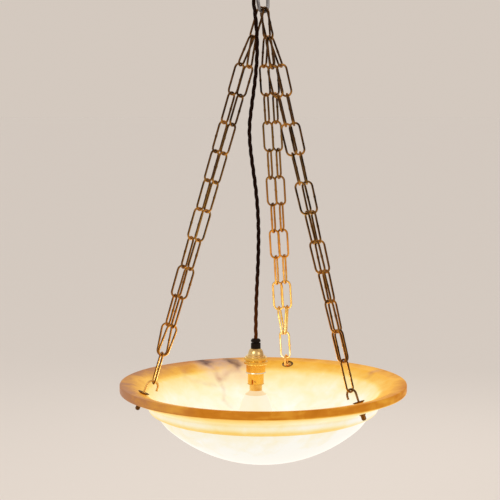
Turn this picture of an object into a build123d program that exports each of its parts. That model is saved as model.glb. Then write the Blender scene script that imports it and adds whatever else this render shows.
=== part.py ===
from build123d import *
from math import cos, degrees, pi, radians, sin, sqrt, tan
import os

# An alabaster bowl hung by three doubled chains from one ceiling hook, with a bayonet lampholder
# and lamp on a twisted flex inside the bowl. Millimetres, +Z up, origin on the ceiling.

# Ceiling fitting
plate_diameter = 90.0
plate_thickness = 3.0
plate_edge = 1.2
screw_hole = 4.5
screw_spacing = 68.0
boss_diameter = 16.0
boss_height = 8.0
hook_wire = 6.0
hook_drop = 57.6  # ceiling to the middle of the wire at the bottom of the bend
hook_tip_length = 13.0
hook_tip_splay = 12.0  # degrees
hook_turn = 42.0  # degrees, of the hook's bend from +X
hook_shank_cover = 1.0  # plate left above the end of the shank
lock_nut_width = 10.0
lock_nut_height = 5.0
thread_gap = 0.05

# Chain links, of wire with eight sides
link_wire = 3.6
link_width = 17.0  # middle of the wire to middle of the wire
link_pitch = 50.9
link_gap = 0.6
links_per_chain = 13
wire_sides = 8
seat_crowding = 1.2  # how far round the hook the outer chains sit, 1 is level with its bend
strand_spread = 15.5  # between the two strands half way down
strand_close = 4.8  # between the two strands where they share a link
strand_lift = 0.8  # each strand lies up the curve of the link it shares
strand_roll = 65.0  # degrees, from edge on to the line between the strands

# Bowl
rim_radius = 250.0
lip_width = 21.0
lip_slope = 10.0  # degrees, down towards the inside
lip_round = 4.0
band_height = 14.0
seat_width = 25.0
seat_slope = 23.0  # degrees, of the rim inside the lip and of its underside
rim_overhang = 47.5  # rim to the widest ring under it
bulge_depth = 37.0
notch_inset = 11.0  # from that ring to the step in the outside
notch_depth = 53.5
bowl_depth = 140.5
bowl_wall = 16.0
inner_foot_inset = 14.0  # from the step to where the inside turns up to the rim
seat_round = 22.0  # where the inside turns out to the rim

# Bowl hooks and what clamps them
bowl_hook_count = 3
first_hook_angle = 77.6  # degrees from +X
hook_seat_inset = 14.0  # from the lip's inner edge
bowl_hook_wire = 3.8
bowl_hook_bend = 10.0
bowl_hook_rise = 28.0  # stone to the middle of the wire at the top
bowl_hook_tail = 5.0
bowl_hook_hole = 5.8
collar_diameter = 8.0
collar_height = 2.5
washer_diameter = 21.0
washer_base = 11.0
washer_height = 3.6
washer_sheet = 1.2
stone_gap = 0.2
lower_washer_diameter = 11.0
nut_diameter = 8.0
nut_height = 9.0
nut_edge = 2.0
nut_thread = 6.0

# Flex, with the points it hangs through
flex_diameter = 7.0
flex_gap = 0.3
bush_diameter = 10.0
bush_flange = 15.0
bush_flange_height = 2.5
bush_edge = 0.8
bush_recess = 1.0
flex_route = [
    (-17.5, -21.0, -2.0),
    (-17.5, -21.0, -34.0),
    (-12.6, -20.5, -70.0),
    (-10.0, -19.5, -107.0),
    (-11.0, -17.5, -145.0),
    (-14.8, -15.0, -182.0),
    (-20.0, -13.0, -218.0),
    (-24.4, -11.5, -256.0),
    (-21.8, -10.0, -294.0),
    (-16.5, -8.5, -331.0),
    (-11.5, -7.0, -370.0),
    (-8.4, -6.0, -412.0),
    (-8.0, -5.0, -455.0),
    (-9.4, -4.3, -498.0),
    (-11.6, -4.0, -541.0),
    (-13.0, -4.0, -584.0),
    (-13.0, -4.0, -626.0),
]
bend_share = 0.45

# Lampholder
grip_entry = 6.0  # flex inside the cord grip
grip_diameter = 17.0
grip_neck = 13.0
grip_collar = 5.0
grip_groove = 2.5
grip_height = 17.0
cap_height = 15.0
cap_top_diameter = 18.0
cap_shoulder_diameter = 27.0
cap_flange = 3.0
holder_wall = 2.2
barrel_diameter = 33.5
barrel_height = 26.0
bead_height = 3.0
bead_proud = 0.8
skirt_diameter = 28.0
skirt_length = 22.0
skirt_lip = 1.4
skirt_lip_proud = 0.7
shade_ring_width = 3.7
shade_ring_height = 5.5
shade_ring_gap = 1.4
shade_ring_edge = 1.2
insulator_height = 14.0
insulator_gap = 0.2
plunger_diameter = 4.6
plunger_spacing = 11.0
plunger_length = 10.0
plunger_reach = 5.0  # below the insulator
plunger_gap = 0.08
spring_wire = 0.6
spring_turns = 4
terminal_head = 5.0
terminal_head_height = 2.0
terminal_shank = 3.0
terminal_depth = 4.0

# Lamp
lamp_cap_diameter = 22.0
lamp_cap_length = 24.0
lamp_pin = 2.0
lamp_pin_span = 27.0
lamp_pin_depth = 7.0  # below the top of the cap
lamp_contact = 4.4
lamp_contact_height = 1.4
contact_gap = 0.1
lamp_push = 2.0
lamp_twist = 25.0  # degrees
slot_gap = 0.35
lamp_neck_diameter = 37.0
lamp_neck_height = 7.0
globe_diameter = 62.0
globe_drop = 46.0  # neck to the globe's widest ring
globe_wall = 1.2
board_diameter = 26.0
board_thickness = 1.6
led_size = 3.5
led_height = 0.9
led_count = 6
led_circle = 18.0

os.makedirs("parts", exist_ok=True)


def finish(builder, name):
    """Label a finished piece and write it."""
    builder.part.label = name
    export_step(builder.part, f"parts/{name}.step")


# Where the chains sit on the ceiling hook: side by side round the inside of its bend
link_lap = link_wire + link_gap
doubled_links = links_per_chain - 2
link_length = link_pitch + link_lap
side_by_side = link_wire + link_gap
seat_orbit = seat_crowding * side_by_side
hook_bend = seat_orbit + (link_wire + hook_wire) / 2 + link_gap
hook_centre_z = hook_bend - hook_drop
hook_across = Vector(cos(radians(hook_turn)), sin(radians(hook_turn)), 0)
hook_shank = hook_across * hook_bend


def top_seat(place):
    """Where a chain's first link bears on the ceiling hook, for place -1, 0 or 1 along its bend."""
    shift = place * side_by_side
    return hook_across * shift + Vector(0, 0, hook_centre_z - sqrt(seat_orbit**2 - shift**2))


# Where the chains bear on the bowl hooks, which sets the height that the bowl hangs at
slope = radians(seat_slope)
hook_seat_radius = rim_radius - lip_width - hook_seat_inset
lip_fall = lip_width * tan(radians(lip_slope))
seat_drop = lip_fall + hook_seat_inset * tan(slope)
bearing = bowl_hook_rise - (bowl_hook_wire + link_wire) / 2 - link_gap
bearing_radius = hook_seat_radius - bearing * sin(slope) - bowl_hook_bend * cos(slope)
bearing_height = bearing * cos(slope) - bowl_hook_bend * sin(slope) - seat_drop
chain_length = links_per_chain * link_pitch + link_lap
rim_z = top_seat(0).Z - sqrt(chain_length**2 - bearing_radius**2) - bearing_height


def hook_angle(index):
    return first_hook_angle + index * 360 / bowl_hook_count


def hook_plane(index):
    """A bowl hook's own plane: origin on the stone, Z along its shank, X towards the bowl's axis."""
    angle = radians(hook_angle(index))
    outward = Vector(cos(angle), sin(angle), 0)
    up = Vector(0, 0, 1)
    return Plane(
        origin=outward * hook_seat_radius + up * (rim_z - seat_drop),
        x_dir=outward * -cos(slope) - up * sin(slope),
        z_dir=outward * -sin(slope) + up * cos(slope),
    )


hook_places = [hook_plane(index).location for index in range(bowl_hook_count)]
rim_thickness = (rim_radius - hook_seat_radius) * sin(slope) + (band_height - seat_drop) * cos(slope)

# Ceiling plate, with a threaded boss for the hook
bush_x, bush_y = flex_route[0][0], flex_route[0][1]
with BuildPart() as ceiling_plate:
    with Locations((0, 0, -plate_thickness)):
        Cylinder(plate_diameter / 2, plate_thickness, align=(Align.CENTER, Align.CENTER, Align.MIN))
    chamfer(ceiling_plate.edges().group_by(Axis.Z)[0], plate_edge)
    with Locations(hook_shank - Vector(0, 0, plate_thickness)):
        Cylinder(boss_diameter / 2, boss_height, align=(Align.CENTER, Align.CENTER, Align.MAX))
    with Locations(hook_shank - Vector(0, 0, hook_shank_cover)):
        Cylinder(
            hook_wire / 2 + thread_gap,
            plate_thickness + boss_height,
            align=(Align.CENTER, Align.CENTER, Align.MAX),
            mode=Mode.SUBTRACT,
        )
    with Locations((bush_x, bush_y, 0)):
        Hole(bush_diameter / 2 + thread_gap)
    with GridLocations(0, screw_spacing, 1, 2):
        Hole(screw_hole / 2)
finish(ceiling_plate, "ceiling_plate")

# Ceiling hook, bent from round bar, open on the left
hook_flat = Plane((0, 0, 0), x_dir=hook_across, z_dir=hook_across.cross(Vector(0, 0, 1)))
with BuildPart() as ceiling_hook:
    with BuildLine(hook_flat) as hook_path:
        Line((hook_bend, -hook_shank_cover - thread_gap), (hook_bend, hook_centre_z))
        bend = CenterArc((0, hook_centre_z), hook_bend, 0, hook_tip_splay - 180)
        PolarLine(bend @ 1, hook_tip_length, 90 + hook_tip_splay)
    with BuildSketch(Plane(hook_path.wire() @ 0, z_dir=hook_path.wire() % 0)):
        Circle(hook_wire / 2)
    sweep()
finish(ceiling_hook, "ceiling_hook")

# Lock nut under the boss
with BuildPart() as hook_lock_nut:
    with BuildSketch(Plane(hook_shank - Vector(0, 0, plate_thickness + boss_height))):
        RegularPolygon(lock_nut_width / 2, 6, major_radius=False)
        Circle(hook_wire / 2 + thread_gap, mode=Mode.SUBTRACT)
    extrude(amount=-lock_nut_height)
finish(hook_lock_nut, "hook_lock_nut")

# Bush where the flex leaves the plate
with BuildPart() as cord_outlet_bush:
    with Locations((bush_x, bush_y, -bush_recess)):
        Cylinder(bush_diameter / 2, plate_thickness, align=(Align.CENTER, Align.CENTER, Align.MAX))
    with Locations((bush_x, bush_y, -plate_thickness)):
        Cylinder(bush_flange / 2, bush_flange_height, align=(Align.CENTER, Align.CENTER, Align.MAX))
    chamfer(cord_outlet_bush.edges().group_by(Axis.Z)[0], bush_edge)
    with Locations((bush_x, bush_y, 0)):
        Hole(flex_diameter / 2 + flex_gap)
finish(cord_outlet_bush, "cord_outlet_bush")

# Wire bends are half turns in four flats
corner_share = 1 - tan(pi / wire_sides)


def wire_bend(left, radius, top):
    """The four corners of a half turn that starts at left, rises to top and comes down again."""
    corner = radius * corner_share
    right = left + 2 * radius
    return [(left, top - corner), (left + corner, top), (right - corner, top), (right, top - corner)]


# One chain link, lying in XY with its length along Y
with BuildPart() as link:
    with BuildLine():
        Polyline(
            (-link_width / 2, 0),
            *wire_bend(-link_width / 2, link_width / 2, link_length / 2),
            (link_width / 2, 0),
        )
    with BuildSketch(Plane((-link_width / 2, 0, 0), x_dir=(1, 0, 0), z_dir=(0, 1, 0))):
        RegularPolygon(link_wire / 2, wire_sides, major_radius=False, rotation=180 / wire_sides)
    sweep(transition=Transition.RIGHT)
    mirror(about=Plane.XZ)


class Chain:
    """One chain's line, with the places of its knuckles and links."""

    def __init__(self, hook_index, place):
        self.top = top_seat(place)
        self.hook_angle = hook_angle(hook_index)
        self.shared_angle = self.hook_angle % 180 - 90
        self.twist = self.shared_angle + 90 - strand_roll
        seat = hook_plane(hook_index)
        bottom = seat.origin + seat.z_dir * bearing + seat.x_dir * bowl_hook_bend
        span = bottom - self.top
        self.down = span.normalized()
        self.side = (Vector(1, 0, 0) - self.down * self.down.X).normalized()
        self.back = self.side.cross(self.down)
        drifts = [
            (self.strand_offset(i + 1) - self.strand_offset(i)).length for i in range(1, doubled_links + 1)
        ]
        detour = 2 * strand_lift + sum(drift**2 for drift in drifts) / (2 * link_pitch)
        self.step = (span.length - link_length + detour) / (links_per_chain - 1)
        first = (link_length - self.step) / 2
        self.single = [first, first + self.step]
        self.strand = {1: self.single[1] - strand_lift}
        for i, drift in enumerate(drifts, start=1):
            self.strand[i + 1] = self.strand[i] + sqrt(self.step**2 - drift**2)
        shared = self.strand[doubled_links + 1] - strand_lift
        self.drop = [shared, shared + self.step]

    def across(self, angle):
        """A direction across the chain, turned from +X towards +Y."""
        return self.side * cos(radians(angle)) + self.back * sin(radians(angle))

    def drift(self, level):
        """How far the pair of strands has turned about the chain's line."""
        return self.twist * (level - 1) / (doubled_links - 1)

    def strand_offset(self, count):
        """How far a strand's knuckle lies from the chain's line: close at both ends, apart between."""
        if count == 1:
            return self.across(hook_turn - 90) * (strand_close / 2)
        if count > doubled_links:
            return self.across(self.shared_angle) * (strand_close / 2)
        return self.across(self.drift(count)) * (strand_spread / 2)

    def strand_angle(self, level):
        """The way a doubled link faces: a quarter turn from the last, square to the link it ends on."""
        return strand_roll - 90 * (level % 2) + self.drift(level)

    def link_place(self, start, end, angle):
        """Where a link lies that runs between two knuckles with its flat side turned to an angle."""
        along = (end - start).normalized()
        flat = self.across(angle)
        flat = (flat - along * flat.dot(along)).normalized()
        return Plane((start + end) / 2, x_dir=along.cross(flat), z_dir=flat).location

    def single_place(self, knuckles, angle):
        """Place of a single link between two knuckles on the chain's line."""
        start, end = (self.top + self.down * distance for distance in knuckles)
        return self.link_place(start, end, angle)

    def strand_places(self, hand):
        """Places of one strand's links."""
        points = {
            count: self.top + self.down * distance + self.strand_offset(count) * hand
            for count, distance in self.strand.items()
        }
        return [
            self.link_place(points[level], points[level + 1], self.strand_angle(level))
            for level in range(1, doubled_links + 1)
        ]


def write_links(name, places):
    """Write a run of separate links as one node."""
    with BuildPart() as run:
        with Locations(*places):
            add(link.part)
    finish(run, name)


# The chains: which bowl hook, which seat on the ceiling hook
chains = {
    "back": Chain(hook_index=0, place=1),
    "left": Chain(hook_index=1, place=-1),
    "right": Chain(hook_index=2, place=0),
}
for side, chain in chains.items():
    write_links(f"{side}_top_link", [chain.single_place(chain.single, hook_turn)])
    write_links(f"{side}_strand_a", chain.strand_places(-1))
    write_links(f"{side}_strand_b", chain.strand_places(1))
    write_links(f"{side}_drop_link", [chain.single_place(chain.drop, chain.hook_angle)])
    print(side, "chain: step", round(chain.step, 3), "gap", round(link_length - link_wire - chain.step, 3))

# Alabaster bowl, turned about its axis and drilled for the hooks
bulge_radius = rim_radius - rim_overhang
notch_radius = bulge_radius - notch_inset
inner_foot_radius = notch_radius - inner_foot_inset
cap_radius = (notch_radius**2 + (bowl_depth - notch_depth) ** 2) / (2 * (bowl_depth - notch_depth))
cap_centre = cap_radius - bowl_depth
bulge_fall = notch_depth - bulge_depth
bulge_bend = (notch_inset**2 + bulge_fall**2) / (2 * notch_inset)
inner_radius = cap_radius - bowl_wall
inner_foot = cap_centre - sqrt(inner_radius**2 - inner_foot_radius**2)
lip_inner = rim_radius - lip_width
underside = band_height + (rim_radius - bulge_radius) * tan(slope)
seat_foot = Vector(lip_inner - seat_width, rim_z - lip_fall - seat_width * tan(slope))
with BuildPart() as alabaster_bowl:
    with BuildSketch(Plane.XZ) as bowl_section:
        with BuildLine():
            outer_cap = RadiusArc((0, rim_z - bowl_depth), (notch_radius, rim_z - notch_depth), -cap_radius)
            bulge = RadiusArc(outer_cap @ 1, (bulge_radius, rim_z - bulge_depth), -bulge_bend)
            Polyline(
                bulge @ 1,
                (bulge_radius, rim_z - underside),
                (rim_radius, rim_z - band_height),
                (rim_radius, rim_z),
                (lip_inner, rim_z - lip_fall),
                seat_foot,
                (inner_foot_radius, rim_z + inner_foot),
            )
            inner_cap = RadiusArc(
                (inner_foot_radius, rim_z + inner_foot), (0, rim_z - bowl_depth + bowl_wall), inner_radius
            )
            Line(inner_cap @ 1, outer_cap @ 0)
        make_face()
        rim_corners = bowl_section.vertices().group_by(Axis.X)[-1]
        fillet(rim_corners, lip_round)
        fillet(bowl_section.vertices().sort_by_distance((seat_foot.X, 0, seat_foot.Y))[0], seat_round)
    revolve(axis=Axis.Z)
    with Locations(*hook_places):
        Cylinder(bowl_hook_hole / 2, 3 * rim_thickness, mode=Mode.SUBTRACT)
finish(alabaster_bowl, "alabaster_bowl")

# One bowl hook in its own plane, with a collar that clamps the washer
shank_end = rim_thickness + stone_gap + washer_sheet + nut_thread
tail_end = bowl_hook_rise - bowl_hook_bend - bowl_hook_tail
with BuildPart() as hook_form:
    with BuildLine(Plane.XZ):
        Polyline(
            (0, -shank_end), *wire_bend(0, bowl_hook_bend, bowl_hook_rise), (2 * bowl_hook_bend, tail_end)
        )
    with BuildSketch(Plane.XY.offset(-shank_end)):
        RegularPolygon(bowl_hook_wire / 2, wire_sides, rotation=180 / wire_sides)
    sweep(transition=Transition.RIGHT)
    with Locations((0, 0, stone_gap + washer_sheet)):
        Cylinder(collar_diameter / 2, collar_height, align=(Align.CENTER, Align.CENTER, Align.MIN))
with BuildPart() as bowl_hooks:
    with Locations(*hook_places):
        add(hook_form.part)
finish(bowl_hooks, "bowl_hooks")

# Dished washers on the stone
shank_bore = bowl_hook_wire / 2 + thread_gap
with BuildPart() as washer_form:
    with BuildSketch(Plane.XZ):
        with BuildLine():
            Polyline(
                (shank_bore, stone_gap),
                (washer_base / 2, stone_gap),
                (washer_diameter / 2, washer_height),
                (washer_diameter / 2 - washer_sheet / 2, washer_height + washer_sheet / 2),
                (washer_base / 2 - washer_sheet / 2, stone_gap + washer_sheet),
                (shank_bore, stone_gap + washer_sheet),
                close=True,
            )
        make_face()
    revolve(axis=Axis.Z)
with BuildPart() as cup_washers:
    with Locations(*hook_places):
        add(washer_form.part)
finish(cup_washers, "cup_washers")

# Flat washers and domed nuts under the rim
with BuildPart() as lower_washer_form:
    with BuildSketch(Plane.XY.offset(-rim_thickness - stone_gap)):
        Circle(lower_washer_diameter / 2)
        Circle(shank_bore, mode=Mode.SUBTRACT)
    extrude(amount=-washer_sheet)
with BuildPart() as lower_washers:
    with Locations(*hook_places):
        add(lower_washer_form.part)
finish(lower_washers, "lower_washers")

with BuildPart() as nut_form:
    with Locations((0, 0, -rim_thickness - stone_gap - washer_sheet)):
        Cylinder(nut_diameter / 2, nut_height, align=(Align.CENTER, Align.CENTER, Align.MAX))
        chamfer(nut_form.edges().group_by(Axis.Z)[0], nut_edge)
        Cylinder(
            shank_bore,
            nut_thread + thread_gap,
            align=(Align.CENTER, Align.CENTER, Align.MAX),
            mode=Mode.SUBTRACT,
        )
with BuildPart() as hook_nuts:
    with Locations(*hook_places):
        add(nut_form.part)
finish(hook_nuts, "hook_nuts")

# Flex: straight runs joined by arcs as large as the runs allow
route = [Vector(*point) for point in flex_route]
runs = [end - start for start, end in zip(route, route[1:])]
radii = []
for before, after in zip(runs, runs[1:]):
    half_turn = radians(before.get_angle(after)) / 2
    radii.append(bend_share * min(before.length, after.length) / tan(half_turn))
with BuildPart() as flex_cord:
    with BuildLine() as flex_path:
        FilletPolyline(*route, radius=radii)
    with BuildSketch(Plane(route[0], z_dir=runs[0])) as flex_section:
        RegularPolygon(flex_diameter / 2, wire_sides)
    sweep()
finish(flex_cord, "flex_cord")
flex_length = flex_path.wire().length
print("flex: length", round(flex_length, 1), "radii", [round(r) for r in radii])
print("flex: volume", round(flex_cord.part.volume), "of", round(flex_length * flex_section.sketch.area))

# Levels down the lampholder, which hangs on the end of the flex
lamp_x, lamp_y, flex_end = flex_route[-1]
grip_top = flex_end + grip_entry
cap_top = grip_top - grip_height
body_top = cap_top - cap_height
bead_top = body_top - barrel_height
skirt_end = bead_top - skirt_length
lamp_axis = Axis((lamp_x, lamp_y, 0), (0, 0, 1))
lamp_section = Plane((lamp_x, lamp_y, 0), x_dir=(1, 0, 0), z_dir=(0, -1, 0))

# Cord grip
with BuildPart() as cord_grip:
    with BuildSketch(lamp_section):
        with BuildLine():
            Polyline(
                (flex_diameter / 2 + flex_gap, grip_top),
                (grip_neck / 2, grip_top),
                (grip_diameter / 2, grip_top - grip_collar / 2),
                (grip_diameter / 2, grip_top - grip_collar),
                (grip_neck / 2, grip_top - grip_collar),
                (grip_neck / 2, grip_top - grip_collar - grip_groove),
                (grip_diameter / 2, grip_top - grip_collar - grip_groove),
                (grip_diameter / 2, cap_top),
                (0, cap_top),
                (0, flex_end),
                (flex_diameter / 2 + flex_gap, flex_end),
                close=True,
            )
        make_face()
    revolve(axis=lamp_axis)
finish(cord_grip, "cord_grip")

# Domed cap, a turned shell with a flange on the barrel
with BuildPart() as lampholder_cap:
    with BuildSketch(lamp_section):
        with BuildLine():
            crown = Line((0, cap_top), (cap_top_diameter / 2, cap_top))
            dome = TangentArc(
                crown @ 1, (cap_shoulder_diameter / 2, body_top + cap_flange), tangent=(1, -1)
            )
            Polyline(
                dome @ 1,
                (barrel_diameter / 2, body_top + cap_flange),
                (barrel_diameter / 2, body_top),
                (barrel_diameter / 2 - holder_wall, body_top),
                (cap_shoulder_diameter / 2 - holder_wall, body_top + cap_flange - holder_wall),
                (cap_top_diameter / 2 - holder_wall, cap_top - holder_wall),
                (0, cap_top - holder_wall),
                (0, cap_top),
            )
        make_face()
    revolve(axis=lamp_axis)
finish(lampholder_cap, "lampholder_cap")

# Barrel, bead and skirt in one turned piece, with a bayonet slot at front and back
socket_radius = skirt_diameter / 2 - holder_wall - slot_gap
shelf_z = bead_top + holder_wall
lamp_cap_top = skirt_end + lamp_cap_length - lamp_cap_diameter / 2 + slot_gap
pin_z = lamp_cap_top - lamp_pin_depth
pin_middle = (lamp_pin_span / 2 + socket_radius) / 2
entry_x = -pin_middle * sin(radians(lamp_twist))
slot_radius = lamp_pin / 2 + slot_gap
entry_width = 2 * slot_radius + (skirt_diameter / 2 - socket_radius) * sin(radians(lamp_twist))
with BuildPart() as lampholder_body:
    with BuildSketch(lamp_section):
        with BuildLine():
            Polyline(
                (barrel_diameter / 2, body_top),
                (barrel_diameter / 2, bead_top),
                (barrel_diameter / 2 + bead_proud, bead_top - bead_height / 2),
                (skirt_diameter / 2, bead_top - bead_height),
                (skirt_diameter / 2, skirt_end + skirt_lip),
                (skirt_diameter / 2 + skirt_lip_proud, skirt_end + skirt_lip / 2),
                (skirt_diameter / 2, skirt_end),
                (socket_radius, skirt_end),
                (socket_radius, shelf_z),
                (barrel_diameter / 2 - holder_wall, shelf_z),
                (barrel_diameter / 2 - holder_wall, body_top),
                close=True,
            )
        make_face()
    revolve(axis=lamp_axis)
    for facing in (1, -1):
        slot_plane = Plane((lamp_x, lamp_y, pin_z), x_dir=(facing, 0, 0), z_dir=(0, -facing, 0))
        with BuildSketch(slot_plane):
            with Locations((0, 0), (entry_x, lamp_push)):
                Circle(slot_radius)
            make_hull()
            with Locations((entry_x, lamp_push + slot_radius)):
                Rectangle(
                    entry_width,
                    lamp_push + slot_radius + pin_z - skirt_end,
                    align=(Align.CENTER, Align.MAX),
                )
        extrude(amount=skirt_diameter, mode=Mode.SUBTRACT)
finish(lampholder_body, "lampholder_body")

# Shade rings screwed on the barrel
ring_bore = barrel_diameter / 2 + thread_gap
for level, name in enumerate(("shade_ring_upper", "shade_ring_lower")):
    ring_top = body_top - level * (shade_ring_height + shade_ring_gap)
    with BuildPart() as shade_ring:
        with BuildSketch(Plane((lamp_x, lamp_y, ring_top))):
            Circle(ring_bore + shade_ring_width)
            Circle(ring_bore, mode=Mode.SUBTRACT)
        extrude(amount=-shade_ring_height)
        chamfer(shade_ring.edges().filter_by(GeomType.CIRCLE).sort_by(SortBy.RADIUS)[-2:], shade_ring_edge)
    finish(shade_ring, name)

# Insulator on the shelf inside the barrel, with a neck down the skirt and bores for the two plungers
plunger_offset = plunger_spacing / 2
contact_top = lamp_cap_top + lamp_contact_height
plunger_end = contact_top + contact_gap
neck_bottom = plunger_end + plunger_reach
insulator_top = shelf_z + insulator_height
spring_roof = insulator_top - terminal_depth - holder_wall
with BuildPart() as lampholder_insulator:
    with Locations((lamp_x, lamp_y, shelf_z)):
        Cylinder(
            barrel_diameter / 2 - holder_wall - insulator_gap,
            insulator_height,
            align=(Align.CENTER, Align.CENTER, Align.MIN),
        )
        Cylinder(
            socket_radius - insulator_gap,
            shelf_z - neck_bottom,
            align=(Align.CENTER, Align.CENTER, Align.MAX),
        )
    with Locations((lamp_x, lamp_y, neck_bottom)):
        with GridLocations(plunger_spacing, 0, 2, 1):
            Cylinder(
                plunger_diameter / 2 + plunger_gap,
                2 * (spring_roof - neck_bottom),
                mode=Mode.SUBTRACT,
            )
    with Locations((lamp_x, lamp_y, insulator_top)):
        with GridLocations(plunger_spacing, 0, 2, 1):
            Cylinder(terminal_shank / 2 + thread_gap, 2 * terminal_depth, mode=Mode.SUBTRACT)
finish(lampholder_insulator, "lampholder_insulator")

# Sprung contact plungers
with BuildPart() as contact_plungers:
    with Locations((lamp_x, lamp_y, plunger_end)):
        with GridLocations(plunger_spacing, 0, 2, 1):
            Cylinder(plunger_diameter / 2, plunger_length, align=(Align.CENTER, Align.CENTER, Align.MIN))
finish(contact_plungers, "contact_plungers")

# Springs behind the plungers
spring_floor = plunger_end + plunger_length
spring_height = spring_roof - spring_floor - 2 * spring_wire
spring_radius = plunger_diameter / 2 - spring_wire
spring_steps = spring_turns * wire_sides
with BuildPart() as plunger_springs:
    for hand in (-1, 1):
        coil = []
        for step in range(spring_steps + 1):
            turn = 2 * pi * step / wire_sides
            rise = spring_height * step / spring_steps
            coil.append(
                Vector(lamp_x + hand * plunger_offset, lamp_y, spring_floor + spring_wire + rise)
                + Vector(cos(turn), sin(turn), 0) * spring_radius
            )
        with BuildLine():
            Polyline(*coil)
        with BuildSketch(Plane(coil[0], z_dir=coil[1] - coil[0])):
            Rectangle(spring_wire, spring_wire)
        sweep(transition=Transition.RIGHT)
finish(plunger_springs, "plunger_springs")

# Terminal screws on top of the insulator
with BuildPart() as terminal_screws:
    with Locations((lamp_x, lamp_y, insulator_top)):
        with GridLocations(plunger_spacing, 0, 2, 1):
            Cylinder(terminal_head / 2, terminal_head_height, align=(Align.CENTER, Align.CENTER, Align.MIN))
            Cylinder(terminal_shank / 2, terminal_depth, align=(Align.CENTER, Align.CENTER, Align.MAX))
finish(terminal_screws, "terminal_screws")

# Lamp cap with its pins and contacts
lamp_cap_end = lamp_cap_top - lamp_cap_length
with BuildPart() as bulb_cap:
    with Locations((lamp_x, lamp_y, lamp_cap_end)):
        Cylinder(lamp_cap_diameter / 2, lamp_cap_length, align=(Align.CENTER, Align.CENTER, Align.MIN))
    chamfer(bulb_cap.edges().group_by(Axis.Z)[-1], lamp_contact_height)
finish(bulb_cap, "bulb_cap")

with BuildPart() as bulb_pins:
    for facing in (1, -1):
        pin_foot = (lamp_x, lamp_y - facing * lamp_cap_diameter / 2, pin_z)
        with BuildSketch(Plane(pin_foot, z_dir=(0, -facing, 0))):
            Circle(lamp_pin / 2)
        extrude(amount=(lamp_pin_span - lamp_cap_diameter) / 2)
finish(bulb_pins, "bulb_pins")

with BuildPart() as bulb_contacts:
    with Locations((lamp_x, lamp_y, lamp_cap_top)):
        with GridLocations(plunger_spacing, 0, 2, 1):
            Cylinder(lamp_contact / 2, lamp_contact_height, align=(Align.CENTER, Align.CENTER, Align.MIN))
finish(bulb_contacts, "bulb_contacts")

# Lamp neck, a flared collar under the cap
neck_end = lamp_cap_end - lamp_neck_height
with BuildPart() as bulb_neck:
    with BuildSketch(lamp_section):
        with BuildLine():
            Line((0, lamp_cap_end), (lamp_cap_diameter / 2, lamp_cap_end))
            flare = TangentArc(
                (lamp_cap_diameter / 2, lamp_cap_end), (lamp_neck_diameter / 2, neck_end), tangent=(0.5, -1)
            )
            Polyline(flare @ 1, (0, neck_end), (0, lamp_cap_end))
        make_face()
    revolve(axis=lamp_axis)
finish(bulb_neck, "bulb_neck")

# Opal globe, a blown shell on the neck
globe_radius = globe_diameter / 2
globe_centre = neck_end - globe_drop

with BuildPart() as bulb_glass:
    for inset, mode in ((0, Mode.ADD), (globe_wall, Mode.SUBTRACT)):
        with BuildSketch(lamp_section):
            with BuildLine():
                bowl = CenterArc((0, globe_centre), globe_radius - inset, -90, 90)
                shoulder = TangentArc(bowl @ 1, (lamp_neck_diameter / 2 - inset, neck_end), tangent=(0, 1))
                Polyline(shoulder @ 1, (0, neck_end), bowl @ 0)
            make_face()
        revolve(axis=lamp_axis, mode=mode)
finish(bulb_glass, "bulb_glass")

# Light source on the neck, inside the globe
with BuildPart() as bulb_led_board:
    with Locations((lamp_x, lamp_y, neck_end)):
        Cylinder(board_diameter / 2, board_thickness, align=(Align.CENTER, Align.CENTER, Align.MAX))
    with Locations((lamp_x, lamp_y, neck_end - board_thickness)):
        with PolarLocations(led_circle / 2, led_count):
            Box(led_size, led_size, led_height, align=(Align.CENTER, Align.CENTER, Align.MAX))
finish(bulb_led_board, "bulb_led_board")

print("hook bend", round(hook_bend, 2), "rim", round(rim_z, 2), "bowl bottom", round(rim_z - bowl_depth, 2))
print("skirt end", round(skirt_end, 2), "pin", round(pin_z, 2), "neck end", round(neck_end, 2))
print("globe bottom", round(globe_centre - globe_radius, 2), "bearing", round(bearing_radius, 2))
print("rim thickness", round(rim_thickness, 2), "tilt of shanks", round(degrees(slope), 1))
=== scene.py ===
from math import asin, atan2, cos, pi, radians, sin, sqrt, tan

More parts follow.
